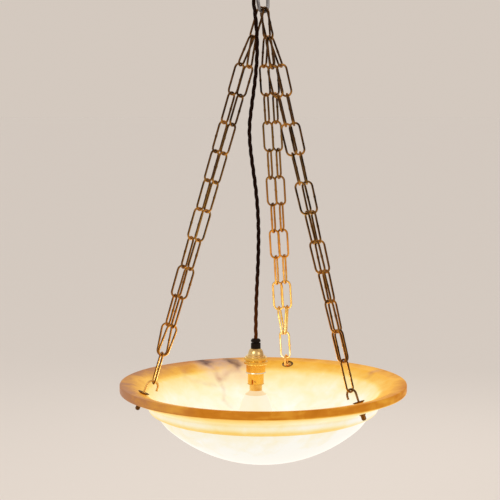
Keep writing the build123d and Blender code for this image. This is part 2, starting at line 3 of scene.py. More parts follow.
import bmesh
import bpy
import numpy as np
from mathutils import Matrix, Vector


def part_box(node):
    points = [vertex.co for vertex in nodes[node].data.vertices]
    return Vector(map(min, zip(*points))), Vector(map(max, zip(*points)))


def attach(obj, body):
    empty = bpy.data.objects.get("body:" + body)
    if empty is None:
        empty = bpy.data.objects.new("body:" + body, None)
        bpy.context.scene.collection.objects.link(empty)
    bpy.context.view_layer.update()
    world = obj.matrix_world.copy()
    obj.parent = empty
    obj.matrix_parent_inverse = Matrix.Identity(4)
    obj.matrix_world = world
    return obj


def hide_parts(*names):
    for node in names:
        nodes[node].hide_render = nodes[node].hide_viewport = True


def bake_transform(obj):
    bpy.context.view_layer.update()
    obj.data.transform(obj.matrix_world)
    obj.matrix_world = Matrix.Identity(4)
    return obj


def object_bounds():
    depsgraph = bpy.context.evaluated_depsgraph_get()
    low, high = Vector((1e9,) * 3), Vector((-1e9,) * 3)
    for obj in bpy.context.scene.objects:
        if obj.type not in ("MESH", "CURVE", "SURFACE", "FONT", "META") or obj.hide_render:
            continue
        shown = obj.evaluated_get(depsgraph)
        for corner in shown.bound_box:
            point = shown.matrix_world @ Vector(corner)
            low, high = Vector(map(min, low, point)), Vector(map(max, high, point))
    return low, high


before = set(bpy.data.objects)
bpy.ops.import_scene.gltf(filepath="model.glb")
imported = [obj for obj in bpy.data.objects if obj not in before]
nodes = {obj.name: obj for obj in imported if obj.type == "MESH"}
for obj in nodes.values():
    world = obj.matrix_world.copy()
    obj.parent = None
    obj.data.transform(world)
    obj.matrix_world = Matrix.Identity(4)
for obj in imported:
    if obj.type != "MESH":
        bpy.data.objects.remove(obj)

# An alabaster bowl hung by three doubled chains from one ceiling hook, with a lampholder and lamp on a
# twisted flex inside it. Metres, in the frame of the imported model: +Z up, origin on the ceiling.

cad_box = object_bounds()
bowl_low, bowl_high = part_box("alabaster_bowl")
lip_slope = radians(10)
lip_round = 0.004
rim_z = bowl_high[2] + lip_round * (tan(lip_slope) + 1 / cos(lip_slope) - 1)

# Camera, placed as the photograph's was
photo_side = 500  # pixels
focal_length = 1510.2  # pixels
bowl_offset = 13.25  # pixels, bowl's axis right of the middle
sensor_width = 36.0  # millimetres
camera_distance = 2.6
camera_above_rim = 0.5034
camera_tilt = 5.975  # degrees, downwards

camera = bpy.data.objects.new("camera", bpy.data.cameras.new("camera"))
bpy.context.scene.collection.objects.link(camera)
camera.data.sensor_width = sensor_width
camera.data.lens = focal_length / photo_side * sensor_width
camera.data.shift_x = -bowl_offset / photo_side
camera.location = (0, -camera_distance, rim_z + camera_above_rim)
camera.rotation_euler = (radians(90 - camera_tilt), 0, 0)
bpy.context.scene.camera = camera
bpy.context.scene.view_settings.view_transform = "Standard"


# Meshes

def add_mesh(name, vertices, faces):
    """A smooth mesh object in the frame."""
    mesh = bpy.data.meshes.new(name)
    mesh.from_pydata([tuple(vertex) for vertex in vertices], [], faces)
    mesh.update()
    mesh.polygons.foreach_set("use_smooth", [True] * len(mesh.polygons))
    piece = bpy.data.objects.new(name, mesh)
    bpy.context.scene.collection.objects.link(piece)
    return piece


def add_values(piece, name, values):
    """One number per vertex, for a material to read."""
    attribute = piece.data.attributes.new(name, "FLOAT", "POINT")
    attribute.data.foreach_set("value", np.asarray(values, dtype=np.float32))


def band(rings, sides, closed, first=0):
    """Faces between rings of vertices that follow each other, the first ring starting at a vertex."""
    faces = []
    for ring in range(rings if closed else rings - 1):
        here = first + ring * sides
        there = first + (ring + 1) % rings * sides
        for side in range(sides):
            beside = (side + 1) % sides
            faces.append((here + side, here + beside, there + beside, there + side))
    return faces


def tube(path, radii, sides, closed=False, first=0):
    """Vertices and faces of a round tube along a path, its ends closed if the path is open."""
    path = np.asarray(path)
    if closed:
        along = np.roll(path, -1, axis=0) - np.roll(path, 1, axis=0)
    else:
        along = np.gradient(path, axis=0)
    along = along / np.linalg.norm(along, axis=1)[:, None]
    turns = 2 * pi * np.arange(sides) / sides
    across = np.eye(3)[np.argmin(np.abs(along[0]))]
    rings = []
    for place, heading, radius in zip(path, along, radii):
        across = across - heading * across.dot(heading)
        across = across / np.linalg.norm(across)
        other = np.cross(heading, across)
        rings.append(place + radius * (np.outer(np.cos(turns), across) + np.outer(np.sin(turns), other)))
    faces = band(len(path), sides, closed, first)
    if not closed:
        last = first + (len(path) - 1) * sides
        faces.append(tuple(range(first + sides - 1, first - 1, -1)))
        faces.append(tuple(range(last, last + sides)))
    return np.concatenate(rings), faces


def lathe(profile, sides, centre=(0, 0), first=0):
    """Vertices and faces of an open profile of (radius, height) points, turned about an upright axis."""
    turns = 2 * pi * np.arange(sides) / sides
    vertices = []
    for radius, height in profile:
        for turn in turns:
            vertices.append((centre[0] + radius * cos(turn), centre[1] + radius * sin(turn), height))
    return np.array(vertices), band(len(profile), sides, False, first)


def solids(node):
    """The vertices of each separate solid of a CAD node."""
    weld = 1e-6
    form = bmesh.new()
    form.from_mesh(nodes[node].data)
    bmesh.ops.remove_doubles(form, verts=form.verts, dist=weld)
    form.verts.index_update()
    found = []
    seen = set()
    for start in form.verts:
        if start.index in seen:
            continue
        seen.add(start.index)
        island = [start]
        for vertex in island:
            for edge in vertex.link_edges:
                other = edge.other_vert(vertex)
                if other.index not in seen:
                    seen.add(other.index)
                    island.append(other)
        found.append(np.array([vertex.co for vertex in island]))
    form.free()
    return found


def measure(points):
    """Middle, axes from longest to shortest, and size of a solid along them."""
    mean = points.mean(axis=0)
    axes = np.linalg.svd(points - mean, full_matrices=False)[2]
    local = (points - mean) @ axes.T
    low, high = local.min(axis=0), local.max(axis=0)
    return mean + (low + high) / 2 @ axes, axes, high - low


# Flex: three braided cores twisted together along a smooth line
flex_route = [
    (-0.0175, -0.0210, -0.0020),
    (-0.0175, -0.0210, -0.0340),
    (-0.0126, -0.0205, -0.0700),
    (-0.0100, -0.0195, -0.1070),
    (-0.0110, -0.0175, -0.1450),
    (-0.0148, -0.0150, -0.1820),
    (-0.0200, -0.0130, -0.2180),
    (-0.0244, -0.0115, -0.2560),
    (-0.0218, -0.0100, -0.2940),
    (-0.0165, -0.0085, -0.3310),
    (-0.0115, -0.0070, -0.3700),
    (-0.0084, -0.0060, -0.4120),
    (-0.0080, -0.0050, -0.4550),
    (-0.0094, -0.0043, -0.4980),
    (-0.0116, -0.0040, -0.5410),
    (-0.0130, -0.0040, -0.5840),
    (-0.0130, -0.0040, -0.6260),
]
flex_diameter = 0.007
core_count = 3
core_diameter = flex_diameter / (1 + 1 / sin(pi / core_count))
twist_pitch = 0.054
core_sides = 10
line_step = 0.0009
flex_lamplit = 0.130  # above the flex's lower end, as far up as the bowl's light browns it


def smooth_line(route):
    """Evenly spaced points on the route's NURBS spline, and its length."""
    curve = bpy.data.curves.new("flex_line", "CURVE")
    curve.dimensions = "3D"
    curve.resolution_u = 40
    spline = curve.splines.new("NURBS")
    spline.points.add(len(route) - 1)
    for point, place in zip(spline.points, route):
        point.co = (*place, 1)
    spline.order_u = 3
    spline.use_endpoint_u = True
    guide = bpy.data.objects.new("flex_line", curve)
    bpy.context.scene.collection.objects.link(guide)
    mesh = bpy.data.meshes.new_from_object(guide)
    line = np.array([vertex.co for vertex in mesh.vertices])
    bpy.data.objects.remove(guide)
    bpy.data.meshes.remove(mesh)
    reach = np.concatenate(([0], np.cumsum(np.linalg.norm(np.diff(line, axis=0), axis=1))))
    even = np.linspace(0, reach[-1], int(reach[-1] / line_step) + 1)
    return np.stack([np.interp(even, reach, line[:, axis]) for axis in range(3)], axis=1), reach[-1]


def braid_map(piece, rings, sides, step):
    """Around and along each core, in metres, as a UV map."""
    layer = piece.data.uv_layers.new(name="braid")
    girth = pi * core_diameter
    for polygon in piece.data.polygons:
        places = [piece.data.loops[i].vertex_index for i in polygon.loop_indices]
        wraps = any(place % sides == sides - 1 for place in places)
        for loop, place in zip(polygon.loop_indices, places):
            turn = place % sides
            if wraps and turn == 0:
                turn = sides
            layer.data[loop].uv = (girth * turn / sides, place // sides % rings * step)


flex_line, flex_length = smooth_line(flex_route)
heading = np.gradient(flex_line, axis=0)
heading = heading / np.linalg.norm(heading, axis=1)[:, None]
aside = np.array([1.0, 0, 0]) - heading * heading[:, :1]
aside = aside / np.linalg.norm(aside, axis=1)[:, None]
behind = np.cross(heading, aside)
core_orbit = (flex_diameter - core_diameter) / 2
phase = 2 * pi * np.arange(len(flex_line)) * line_step / twist_pitch
flex_vertices, flex_faces = [], []
for core in range(core_count):
    turn = phase + 2 * pi * core / core_count
    swing = np.cos(turn)[:, None] * aside + np.sin(turn)[:, None] * behind
    core_radii = [core_diameter / 2] * len(flex_line)
    vertices, faces = tube(flex_line + core_orbit * swing, core_radii, core_sides, first=len(flex_vertices))
    flex_vertices.extend(vertices)
    flex_faces.extend(faces)
flex = add_mesh("flex_cores", flex_vertices, flex_faces)
braid_map(flex, len(flex_line), core_sides, line_step)
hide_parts("flex_cord")
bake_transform(flex)


# Chains: every link is a bent wire with a weld in one leg, laid where the frame has it
wire_sides = 12
bend_steps = 9
leg_steps = 13
leg_crowding = 1.7  # brings the steps of a leg together at its weld
weld_rise = 0.26  # of the wire
weld_length = 0.0017
weld_swaps = 0.5  # share of the links that have their weld in the other leg
chain_seed = 5
painted_lamplight_reach = {"back": 0.42, "left": 0.26, "right": 0.3}  # above the rim, as far up as painted lamplight from the bowl brightens the brass
painted_lamplight_full = {"back": 1.0, "left": 0.9, "right": 0.75}
painted_lamplight_aside = 0.4  # share of the painted lamplight on wire that the bowl's light just misses
lamplit_turn = 0.38  # how far round the wire the bowl's light goes past its middle
lamplit_height = 0.55  # above the rim, as far up as light from the bowl is painted golden on the wire


def link_form(length, width, wire):
    """A link's line across and along it, the wire's radius there, and how worn it is."""
    half_leg = (length - width) / 2
    across, along, radius = [], [], []
    for hand in (1, -1):
        for step in np.linspace(-1, 1, leg_steps):
            y = np.sign(step) * abs(step) ** leg_crowding * half_leg
            weld = weld_rise * np.exp(-((y / weld_length) ** 2)) if hand == 1 else 0
            across.append(hand * width / 2)
            along.append(hand * y)
            radius.append(wire / 2 * (1 + weld))
        for step in range(1, bend_steps):
            turn = pi * step / bend_steps
            across.append(hand * width / 2 * cos(turn))
            along.append(hand * (half_leg + width / 2 * sin(turn)))
            radius.append(wire / 2)
    wear = np.clip((np.abs(along) - half_leg) / (width / 2), 0, 1)
    return np.array(across), np.array(along), np.array(radius), wear


def chain_run(side, run, random):
    """The links of one CAD node as one piece of round wire."""
    node = f"{side}_{run}"
    vertices, faces, wears, tones, lamplit = [], [], [], [], []
    for points in solids(node):
        middle, axes, size = measure(points)
        wire = size[2]
        across, along, radius, wear = link_form(size[0] - wire, size[1] - wire, wire)
        if random.random() < weld_swaps:
            across = -across
        path = middle + np.outer(along, axes[0]) + np.outer(across, axes[1])
        link_vertices, link_faces = tube(path, radius, wire_sides, closed=True, first=len(vertices))
        vertices.extend(link_vertices)
        faces.extend(link_faces)
        outwards = link_vertices - np.repeat(path, wire_sides, axis=0)
        bowlwards = np.array((0, 0, rim_z)) - link_vertices
        facing = (outwards * bowlwards).sum(axis=1)
        facing /= np.linalg.norm(outwards, axis=1) * np.linalg.norm(bowlwards, axis=1)
        lamplit.extend(facing + lamplit_turn)
        wears.extend(np.repeat(wear, wire_sides))
        tones.extend([random.random()] * len(link_vertices))
    piece = add_mesh(node + "_wire", vertices, faces)
    heights = np.array(vertices)[:, 2] - rim_z
    lamplit = np.array(lamplit)
    # Painted lamplight: brass brightened towards the rim, most on the sides that face the bowl.
    painted_lamplight = painted_lamplight_full[side] * np.clip(1 - heights / painted_lamplight_reach[side], 0, 1)
    add_values(piece, "wear", wears)
    # Painted lamplight: gold on the side of the wire that faces the bowl, fading upwards.
    add_values(piece, "painted_facing_light", np.clip(lamplit, 0, 1) * np.clip(1 - heights / lamplit_height, 0, 1))
    add_values(piece, "tone", tones)
    add_values(piece, "painted_lamplight", painted_lamplight * np.clip(painted_lamplight_aside + lamplit, 0, 1))
    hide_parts(node)
    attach(piece, "suspension")
    return piece


chain_random = np.random.default_rng(chain_seed)
chain_runs = []
for side in ("back", "left", "right"):
    for run in ("top_link", "strand_a", "strand_b", "drop_link"):
        chain_runs.append(chain_run(side, run, chain_random))


# Bowl: one turned profile, with how much lamplight comes through the stone along it
lip_width = 0.021
band_height = 0.014
seat_width = 0.025
seat_angle = radians(23)
seat_round = 0.022
rim_overhang = 0.0475
bulge_depth = 0.037
notch_inset = 0.011
notch_depth = 0.0535
bowl_wall = 0.016
inner_foot_inset = 0.014
pole_radius = 0.0005  # of the pinhole where the turned profile meets the axis
bowl_sides = 288
profile_step = 0.0022
corner_passes = 1  # of smoothing over the whole profile
step_carve = 0.0045  # the step in the outside is cut in this much further than in CAD
step_reach = 0.028  # along the cap
step_rise = 0.007  # up the bulge
bright_cap = 0.6  # of the step's radius, as far out as the cap is at its brightest
bulge_turns = (-0.66, -0.3, 0)  # radians round the bulge, from the step up, where its glow changes
soffit_share = 0.72  # of the overhang, as far out as the stone under the rim is lit from inside
dark_lip = 1 / 3  # of the lip's width, as far in as it stays dark
bright_floor = 0.5  # of the inner foot's radius, as far out as the inside is at its brightest
right_glow = 0.07  # more light through the stone's outside on the right than on the left
right_fill = 0.16  # of what the outside lacks, on the right
clear_stone = (0.62, 0.78)  # direction in which the rim lets most light through
clear_from, clear_full = 0.5, 0.95  # of the rim's radius that way, where the clear stone starts and is full
clear_share = 0.07  # of what the rim lacks there


class Profile:
    """A run of (radius, height from the rim, glow) points, laid from one end to the other."""

    def __init__(self, start, glow):
        self.points = [(*start, glow)]

    def relight(self, glow):
        """Another glow from the last point on."""
        self.points[-1] = (*self.points[-1][:2], glow)

    def line(self, end, glow):
        """A straight run to a point, the glow changing evenly along it."""
        start = np.array(self.points[-1])
        finish = np.array((*end, glow))
        steps = max(1, round(np.linalg.norm(finish[:2] - start[:2]) / profile_step))
        for step in range(1, steps + 1):
            self.points.append(tuple(start + (finish - start) * step / steps))

    def arc(self, centre, end_angle, glow):
        """A round run about a centre, the glow changing evenly along it."""
        x, z, start_glow = self.points[-1]
        radius = sqrt((x - centre[0]) ** 2 + (z - centre[1]) ** 2)
        start_angle = atan2(z - centre[1], x - centre[0])
        steps = round(radius * abs(end_angle - start_angle) / profile_step)
        for step in range(1, steps + 1):
            share = step / steps
            angle = start_angle + (end_angle - start_angle) * share
            self.points.append(
                (
                    centre[0] + radius * cos(angle),
                    centre[1] + radius * sin(angle),
                    start_glow + (glow - start_glow) * share,
                )
            )

    def ease(self, corner, reach, passes):
        """Round one corner off further, over some points to each side of it."""
        points = np.array(self.points)
        for _ in range(passes):
            near = points[corner - reach - 1 : corner + reach + 1, :2]
            near[1:-1] = (near[:-2] + 2 * near[1:-1] + near[2:]) / 4
        self.points = [tuple(point) for point in points]

    def carve(self, corner, depth, before, after):
        """Cut in at one corner, less and less along a reach before it and another after it."""
        points = np.array(self.points)
        apart = np.linalg.norm(points[:, :2] - points[corner, :2], axis=1)
        reaches = np.where(np.arange(len(points)) > corner, after, before)
        points[:, 0] -= depth * np.clip(1 - apart / reaches, 0, 1)
        self.points = [tuple(point) for point in points]

    def softened(self):
        """The points with their corners rounded off a little."""
        points = np.array(self.points)
        for _ in range(corner_passes):
            points[1:-1, :2] = (points[:-2] + 2 * points[1:-1] + points[2:])[:, :2] / 4
        return points


rim_radius = bowl_high[0]
bowl_depth = rim_z - bowl_low[2]
bulge_radius = rim_radius - rim_overhang
notch_radius = bulge_radius - notch_inset
inner_foot_radius = notch_radius - inner_foot_inset
cap_height = bowl_depth - notch_depth
cap_radius = (notch_radius**2 + cap_height**2) / (2 * cap_height)
cap_centre = (0, cap_radius - bowl_depth)
bulge_fall = notch_depth - bulge_depth
bulge_bend = (notch_inset**2 + bulge_fall**2) / (2 * notch_inset)
bulge_centre = (bulge_radius - bulge_bend, -bulge_depth)
underside = band_height + rim_overhang * tan(seat_angle)
soffit_z = (1 - soffit_share) * (band_height - underside) - band_height
inner_radius = cap_radius - bowl_wall
inner_foot = cap_centre[1] - sqrt(inner_radius**2 - inner_foot_radius**2)
lip_inner = rim_radius - lip_width
lip_fall = lip_width * tan(lip_slope)
seat_foot = np.array((lip_inner - seat_width, -lip_fall - seat_width * tan(seat_angle)))
wall_angle = atan2(seat_foot[1] - inner_foot, seat_foot[0] - inner_foot_radius)
round_reach = seat_round * tan((wall_angle - seat_angle) / 2)
round_start = seat_foot + round_reach * np.array((cos(seat_angle), sin(seat_angle)))
round_centre = round_start + seat_round * np.array((sin(seat_angle), -cos(seat_angle)))

# Up the outside from the bottom, over the lip and down the inside. Glow is 0 in dark amber, 1 in white stone.
stone = Profile((pole_radius, -bowl_depth), glow=1.08)
stone.arc(cap_centre, -pi / 2 + asin(bright_cap * notch_radius / cap_radius), glow=1.06)
stone.arc(cap_centre, -pi / 2 + asin(notch_radius / cap_radius), glow=0.92)
stone.relight(0.5)
step_corner = len(stone.points) - 1
for turn, glow in zip(bulge_turns, (0.62, 0.86, 0.86)):
    stone.arc(bulge_centre, turn, glow)
stone.line((bulge_radius, -underside), glow=0.8)
bulge_top = len(stone.points)
stone.line((bulge_radius + soffit_share * rim_overhang, soffit_z), glow=0.6)
stone.line((rim_radius, -band_height), glow=0.42)
stone.ease(bulge_top, reach=5, passes=8)
stone.relight(0.2)
outside_points = len(stone.points)
stone.line((rim_radius, 0), glow=0.21)
stone.line((rim_radius - dark_lip * lip_width, -dark_lip * lip_fall), glow=0.24)
stone.line((lip_inner, -lip_fall), glow=0.31)
stone.line(round_start, glow=0.42)
stone.arc(round_centre, pi / 2 + wall_angle, glow=0.64)
stone.line((inner_foot_radius, inner_foot), glow=0.84)
stone.arc(cap_centre, -pi / 2 + asin(bright_floor * inner_foot_radius / inner_radius), glow=0.94)
stone.arc(cap_centre, -pi / 2, glow=0.96)
stone.carve(step_corner, step_carve, step_reach, step_rise)
bowl_profile = stone.softened()
bowl_vertices, bowl_faces = lathe(
    [(max(radius, pole_radius), rim_z + height) for radius, height, _ in bowl_profile], bowl_sides
)
bowl = add_mesh("bowl_stone", bowl_vertices, bowl_faces)
outer_vertices, inner_vertices = np.split(bowl_vertices, [outside_points * bowl_sides])
bowl_glow = np.repeat(bowl_profile[:, 2], bowl_sides)
outer, inner = np.split(bowl_glow, [len(outer_vertices)])  # views, so that bowl_glow changes with them
sideways = outer_vertices[:, 0] / rim_radius
outer += right_glow * sideways + right_fill * np.clip(sideways, 0, 1) * (1 - outer)
clearwards = inner_vertices[:, :2] @ clear_stone / rim_radius
inner += clear_share * np.clip((clearwards - clear_from) / (clear_full - clear_from), 0, 1) * (1 - inner)
add_values(bowl, "glow", bowl_glow)
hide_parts("alabaster_bowl")
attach(bowl, "suspension")


# Bowl hooks: bent round wire with a collar, laid in the planes of their washers
hook_seat_inset = 0.014
hook_wire = 0.0038
hook_bend = 0.010
hook_rise = 0.028
hook_tail = 0.005
hook_shank = 0.0251
collar_diameter = 0.008
collar_low, collar_high = 0.0014, 0.0039
collar_ends = 0.86  # of the collar's radius, at its chamfered ends
hook_sides = 14
shank_points = 16
hook_bend_steps = 18
# Painted lamplight: how golden each hook is painted, brightest where the lamp shines on it.
hook_lamplight_paint = {"back": 1.0, "left": 0.85, "right": 0.3}


def hook_line():
    """A bowl hook's line in its own plane: shank, half turn and tail."""
    top = hook_rise - hook_bend
    line = [(0, height) for height in np.linspace(-hook_shank, top, shank_points)]
    for turn in np.linspace(pi, 0, hook_bend_steps + 1)[1:]:
        line.append((hook_bend + hook_bend * cos(turn), top + hook_bend * sin(turn)))
    line.append((2 * hook_bend, top - hook_tail / 2))
    line.append((2 * hook_bend, top - hook_tail))
    return np.array(line)


hook_vertices, hook_faces, hook_lamplight_values = [], [], []
for washer in solids("cup_washers"):
    middle = measure(washer)[0]
    side = "back" if middle[1] > abs(middle[0]) else "left" if middle[0] < 0 else "right"
    outward = np.array((middle[0], middle[1], 0)) / np.hypot(middle[0], middle[1])
    upward = np.array((0, 0, 1.0))
    inwards = -outward * cos(seat_angle) - upward * sin(seat_angle)
    shankward = -outward * sin(seat_angle) + upward * cos(seat_angle)
    seat_drop = lip_fall + hook_seat_inset * tan(seat_angle)
    foot = outward * (lip_inner - hook_seat_inset) + upward * (rim_z - seat_drop)
    line = hook_line()
    wire_path = foot + np.outer(line[:, 0], inwards) + np.outer(line[:, 1], shankward)
    collar_radii = collar_diameter / 2 * np.array((collar_ends, 1, 1, collar_ends))
    collar_path = foot + np.outer(np.linspace(collar_low, collar_high, len(collar_radii)), shankward)
    for path, radii in ((wire_path, [hook_wire / 2] * len(wire_path)), (collar_path, collar_radii)):
        vertices, faces = tube(path, radii, hook_sides, first=len(hook_vertices))
        hook_vertices.extend(vertices)
        hook_faces.extend(faces)
        hook_lamplight_values.extend([hook_lamplight_paint[side]] * len(vertices))
bowl_hooks = add_mesh("bowl_hook_wires", hook_vertices, hook_faces)
add_values(bowl_hooks, "painted_lamplight", hook_lamplight_values)
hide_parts("bowl_hooks")
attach(bowl_hooks, "suspension")


# Plunger springs: round wire that the plungers press up against the insulator
spring_wire = 0.0006
spring_radius = 0.0017
spring_turns = 4
spring_steps = 24  # in a turn
spring_sides = 8

spring_vertices, spring_faces = [], []
for coil in solids("plunger_springs"):
    coil_low, coil_high = coil.min(axis=0), coil.max(axis=0)
    turn = np.linspace(0, 2 * pi * spring_turns, spring_turns * spring_steps + 1)
    wire_path = np.tile((coil_low + coil_high) / 2, (len(turn), 1))
    wire_path[:, 0] += spring_radius * np.cos(turn)
    wire_path[:, 1] += spring_radius * np.sin(turn)
    wire_path[:, 2] = np.linspace(coil_low[2] + spring_wire / 2, coil_high[2] - spring_wire / 2, len(turn))
    wire_radii = [spring_wire / 2] * len(turn)
    vertices, faces = tube(wire_path, wire_radii, spring_sides, first=len(spring_vertices))
    spring_vertices.extend(vertices)
    spring_faces.extend(faces)
springs = add_mesh("plunger_spring_coils", spring_vertices, spring_faces)
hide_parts("plunger_springs")
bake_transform(springs)


# Materials

skirt_length = 0.022  # of the lampholder's body, up to the top of its bead
bead_height = 0.003
bead_edge = 0.0002  # half the width over which the bead's painted highlight comes in
dish_line = 0.002  # half the line along a cup washer's axis that its dish is measured from
braid_thread = 0.0011


def srgb(red, green, blue):
    """A colour as it shows on a screen, 0 to 255, as a shader's linear one."""
    shown = np.array((red, green, blue)) / 255
    linear = np.where(shown <= 0.04045, shown / 12.92, ((shown + 0.055) / 1.055) ** 2.4)
    return (*linear, 1.0)


class Shader:
    """A material with a principled shader, and short ways to add the nodes that feed it."""

    def __init__(self, name, **constants):
        self.material = bpy.data.materials.new(name)
        self.material.use_nodes = True
        self.tree = self.material.node_tree
        self.surface = self.tree.nodes["Principled BSDF"]
        for socket, value in constants.items():
            self.surface.inputs[socket.replace("_", " ")].default_value = value
        self.place = self.add("TexCoord").outputs["Object"]

    def add(self, kind, **settings):
        node = self.tree.nodes.new("ShaderNode" + kind)
        for name, value in settings.items():
            setattr(node, name, value)
        return node

    def put(self, socket, value):
        """Link an output to a socket, or set a plain value on it."""
        if isinstance(value, bpy.types.NodeSocket):
            self.tree.links.new(value, socket)
        else:
            socket.default_value = value

    def noise(self, scale, detail=4, distortion=0, place=None):
        node = self.add("TexNoise")
        self.put(node.inputs["Vector"], place or self.place)
        node.inputs["Scale"].default_value = scale
        node.inputs["Detail"].default_value = detail
        node.inputs["Distortion"].default_value = distortion
        return node.outputs["Fac"]

    def stretched(self, x, y, z):
        """The place, scaled along each axis."""
        node = self.add("Mapping")
        self.put(node.inputs["Vector"], self.place)
        node.inputs["Scale"].default_value = (x, y, z)
        return node.outputs["Vector"]

    def axis(self, place, letter):
        """One coordinate of a place."""
        node = self.add("SeparateXYZ")
        self.put(node.inputs["Vector"], place)
        return node.outputs[letter]

    def values(self, name):
        """What add_values gave the vertices."""
        return self.add("Attribute", attribute_name=name).outputs["Fac"]

    def math(self, operation, first, second=0.0):
        node = self.add("Math", operation=operation)
        self.put(node.inputs[0], first)
        self.put(node.inputs[1], second)
        return node.outputs["Value"]

    def vector(self, operation, first, second):
        node = self.add("VectorMath", operation=operation)
        self.put(node.inputs[0], first)
        self.put(node.inputs["Scale"] if operation == "SCALE" else node.inputs[1], second)
        return node.outputs["Value" if operation in ("DOT_PRODUCT", "DISTANCE") else "Vector"]

    def wavering(self, scale, reach):
        """The place, pushed about by noise."""
        node = self.add("TexNoise")
        self.put(node.inputs["Vector"], self.place)
        node.inputs["Scale"].default_value = scale
        push = self.vector("SUBTRACT", node.outputs["Color"], (0.5, 0.5, 0.5))
        return self.vector("ADD", self.place, self.vector("SCALE", push, reach))

    def near(self, place, points, reach):
        """One on the line through some points, falling to nothing at a reach from it."""
        distance = None
        for start, end in zip(points, points[1:]):
            run = np.subtract(end, start)
            apart = self.vector("SUBTRACT", place, start)
            share = self.vector("DOT_PRODUCT", apart, tuple(run / run.dot(run)))
            share = self.math("MINIMUM", self.math("MAXIMUM", share, 0.0), 1.0)
            along = self.add("VectorMath", operation="SCALE")
            along.inputs[0].default_value = tuple(run)
            self.put(along.inputs["Scale"], share)
            found = self.vector("DISTANCE", apart, along.outputs["Vector"])
            distance = found if distance is None else self.math("MINIMUM", distance, found)
        return self.spread(distance, 0.0, reach, 1.0, 0.0, "SMOOTHSTEP")

    def spread(self, value, low, high, to_low=0.0, to_high=1.0, kind="LINEAR"):
        """A value's range moved to another, held at its ends."""
        node = self.add("MapRange", interpolation_type=kind)
        self.put(node.inputs["Value"], value)
        for socket, number in zip(("From Min", "From Max", "To Min", "To Max"), (low, high, to_low, to_high)):
            node.inputs[socket].default_value = number
        return node.outputs["Result"]

    def ramp(self, value, stops):
        node = self.add("ValToRGB")
        self.put(node.inputs["Fac"], value)
        marks = node.color_ramp.elements
        while len(marks) < len(stops):
            marks.new(1.0)
        for mark, (position, colour) in zip(marks, stops):
            mark.position = position
            mark.color = colour
        return node.outputs["Color"]

    def mix(self, share, first, second, blend="MIX"):
        node = self.add("Mix", data_type="RGBA", blend_type=blend)
        colours = [socket for socket in node.inputs if socket.type == "RGBA"]
        self.put(node.inputs["Factor"], share)
        self.put(colours[0], first)
        self.put(colours[1], second)
        return [socket for socket in node.outputs if socket.type == "RGBA"][0]

    def set(self, socket, value):
        self.put(self.surface.inputs[socket], value)

    def light_up(self, colour):
        """Mostly the lamp's light from behind in one colour, and for the rest the surface's own."""
        self.set("Emission Color", colour)
        unlit = (1 - lit_share, 1 - lit_share, 1 - lit_share, 1.0)
        self.set("Base Color", self.mix(1.0, colour, unlit, "MULTIPLY"))

    def bump(self, height, depth):
        node = self.add("Bump")
        node.inputs["Strength"].default_value = 1.0
        node.inputs["Distance"].default_value = depth
        self.put(node.inputs["Height"], height)
        self.put(self.surface.inputs["Normal"], node.outputs["Normal"])


def dress(material, *pieces):
    """Give pieces a material."""
    for piece in pieces:
        piece.data.materials.clear()
        piece.data.materials.append(material)


# Marks in the stone: lines on the bowl's inside, below the rim
left_lump = [(-0.119, 0.216, -0.002), (-0.107, 0.207, -0.003)]
right_lump = [(-0.066, 0.226, -0.003), (-0.050, 0.210, -0.008)]
lip_smear = [(-0.072, 0.238, -0.002), (-0.052, 0.230, -0.004)]
haze = [(-0.108, 0.209, -0.003), (-0.080, 0.219, -0.004), (-0.055, 0.219, -0.005)]
low_haze = [(-0.090, 0.192, -0.012), (-0.048, 0.198, -0.016)]
left_vein = [left_lump[1], (-0.092, 0.186, -0.013), (-0.083, 0.176, -0.025), (-0.078, 0.175, -0.029)]
right_vein = [right_lump[1], (-0.051, 0.198, -0.014), (-0.062, 0.189, -0.020), left_vein[-1]]
low_vein = [left_vein[-1], (-0.073, 0.169, -0.037), (-0.073, 0.159, -0.048), (-0.073, 0.145, -0.061)]
faint_vein = [low_vein[-1], (-0.059, 0.135, -0.073)]
brown_stain = [(-0.137, 0.183, -0.004), (-0.147, 0.157, -0.009)]
cell_edge = [brown_stain[1], (-0.146, 0.138, -0.018), (-0.117, 0.151, -0.030), (-0.090, 0.162, -0.036)]
side_smear = [(0.194, 0.112, -0.006), (0.209, 0.116, -0.002)]
side_stain = [(0.189, 0.093, -0.011), side_smear[0]]
lit_share = 0.85  # of the stone's colour that comes from the lamp behind it


